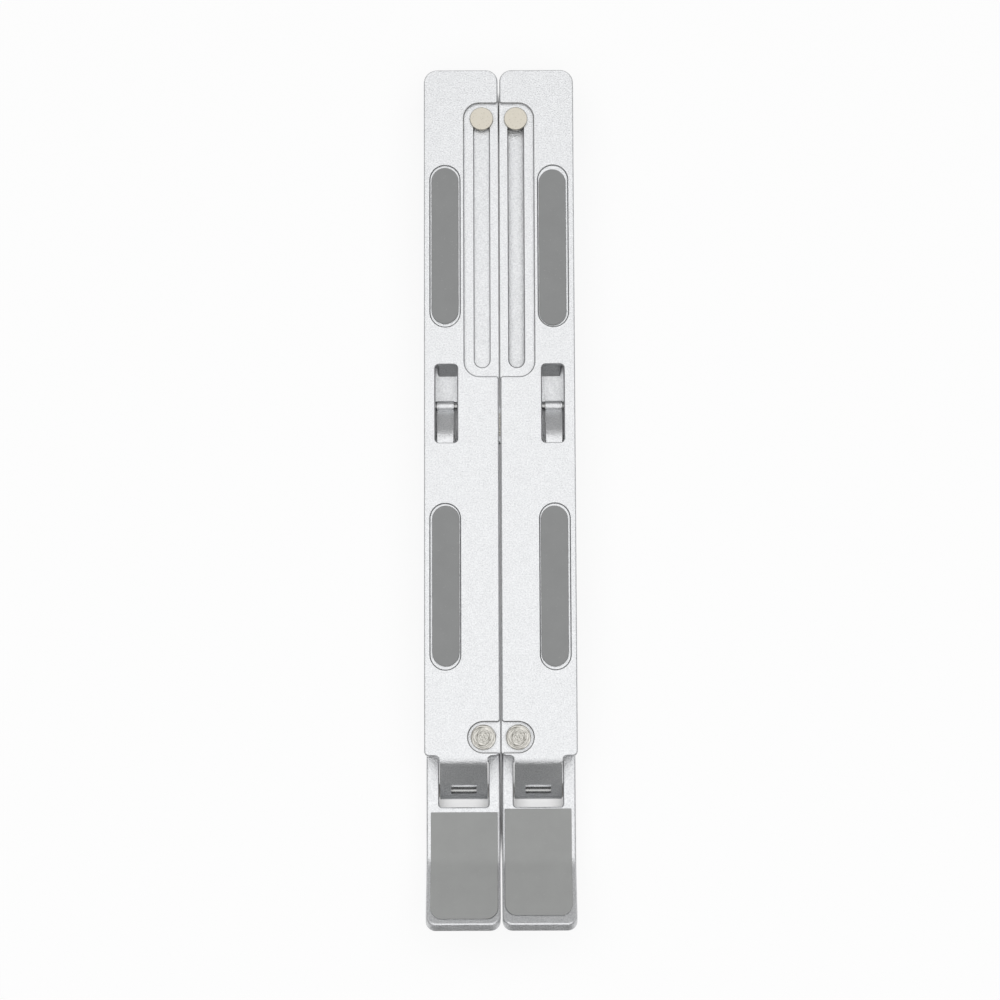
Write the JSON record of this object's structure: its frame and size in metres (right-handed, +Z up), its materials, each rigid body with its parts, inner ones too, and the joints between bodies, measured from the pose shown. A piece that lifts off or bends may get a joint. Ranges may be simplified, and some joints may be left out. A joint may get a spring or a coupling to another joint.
{
  "type": "laptop stand",
  "caption": "Folding laptop stand: slotted beams joined by crossed arms over hinged legs with curled padded lips, raised by notched struts.",
  "frame": {"origin": "middle of the folded stand's outline, on the surface that its feet stand on", "axes": "+X across the stand to the right half, +Y from the curled front lips to the rear ends, +Z up"},
  "size_m": [0.045, 0.2572, 0.0198],
  "materials": {
    "beam_aluminium": "fine sandblasted, clear anodised, silver",
    "leg_aluminium": "fine sandblasted, clear anodised, silver",
    "arm_aluminium": "fine sandblasted, clear anodised, silver",
    "strut_aluminium": "pressed sheet, sandblasted and anodised",
    "pad_silicone": "matt grey silicone",
    "lip_silicone": "matt grey silicone sheet",
    "foot_rubber": "matt grey rubber",
    "rivet_steel": "orbital-formed head, turned rings",
    "slider_steel": "plain nickel-plated head, satin",
    "pin_steel": "ground steel pin",
    "nylon": "natural nylon"
  },
  "bodies": {
    "left_leg": {"left_leg": "leg_aluminium", "left_lip_pad": "lip_silicone", "left_hinge_pin": "pin_steel", "left_hinge_spacers": "nylon", "left_front_foot": "foot_rubber", "left_rear_foot": "foot_rubber"},
    "left_beam": {"left_beam": "beam_aluminium", "left_rear_pad": "pad_silicone", "left_front_pad": "pad_silicone", "left_front_rivet": "rivet_steel", "left_rivet_spacer": "nylon"},
    "lower_arm": {"lower_arm": "arm_aluminium", "cross_rivet": "rivet_steel", "cross_washer": "nylon", "right_slider_pin": "slider_steel", "right_slider_bush": "nylon"},
    "upper_arm": {"upper_arm": "arm_aluminium", "left_slider_pin": "slider_steel", "left_slider_bush": "nylon"},
    "right_beam": {"right_beam": "beam_aluminium", "right_rear_pad": "pad_silicone", "right_front_pad": "pad_silicone", "right_front_rivet": "rivet_steel"},
    "right_leg": {"right_leg": "leg_aluminium", "right_lip_pad": "lip_silicone", "right_hinge_pin": "pin_steel", "right_hinge_spacers": "nylon", "right_front_foot": "foot_rubber", "right_rear_foot": "foot_rubber"},
    "left_strut": {"left_strut": "strut_aluminium", "left_strut_pin": "pin_steel", "left_strut_sleeve": "foot_rubber", "left_sleeve_pin": "pin_steel"},
    "right_strut": {"right_strut": "strut_aluminium", "right_strut_pin": "pin_steel", "right_strut_sleeve": "foot_rubber", "right_sleeve_pin": "pin_steel"}
  },
  "joints": [
    {"name": "lift", "type": "hinge", "parent": "left_leg", "child": "left_beam", "pos_m": [-0.011, -0.0876, 0.0042], "axis": [1, 0, 0], "range_deg": [0, 42]},
    {"name": "spread", "type": "hinge", "parent": "left_beam", "child": "lower_arm", "pos_m": [-0.00515, -0.07255, 0.011], "axis": [0, 0, -1], "range_deg": [0, 49.5]},
    {"name": "arm_cross", "type": "hinge", "parent": "lower_arm", "child": "upper_arm", "pos_m": [0, 0.02055, 0.012], "axis": [0, 0, 1], "range_deg": [0, 99]},
    {"name": "right_beam_turn", "type": "hinge", "parent": "upper_arm", "child": "right_beam", "pos_m": [0.00515, -0.07255, 0.0125], "axis": [0, 0, -1], "range_deg": [0, 49.5]},
    {"name": "right_leg_fold", "type": "hinge", "parent": "right_beam", "child": "right_leg", "pos_m": [0.011, -0.0876, 0.0042], "axis": [-1, 0, 0], "range_deg": [0, 42]},
    {"name": "left_strut_swing", "type": "hinge", "parent": "left_beam", "child": "left_strut", "pos_m": [-0.0161, 0.02645, 0.0109], "axis": [-1, 0, 0], "range_deg": [0, 92.4]},
    {"name": "right_strut_swing", "type": "hinge", "parent": "right_beam", "child": "right_strut", "pos_m": [0.0161, 0.02645, 0.0109], "axis": [-1, 0, 0], "range_deg": [0, 92.4]}
  ],
  "couplings": [
    {"joint": "arm_cross", "follows": "spread", "ratio": 2},
    {"joint": "right_beam_turn", "follows": "spread", "ratio": 1},
    {"joint": "right_leg_fold", "follows": "lift", "ratio": 1},
    {"joint": "left_strut_swing", "follows": "lift", "ratio": 2.2},
    {"joint": "right_strut_swing", "follows": "lift", "ratio": 2.2}
  ]
}
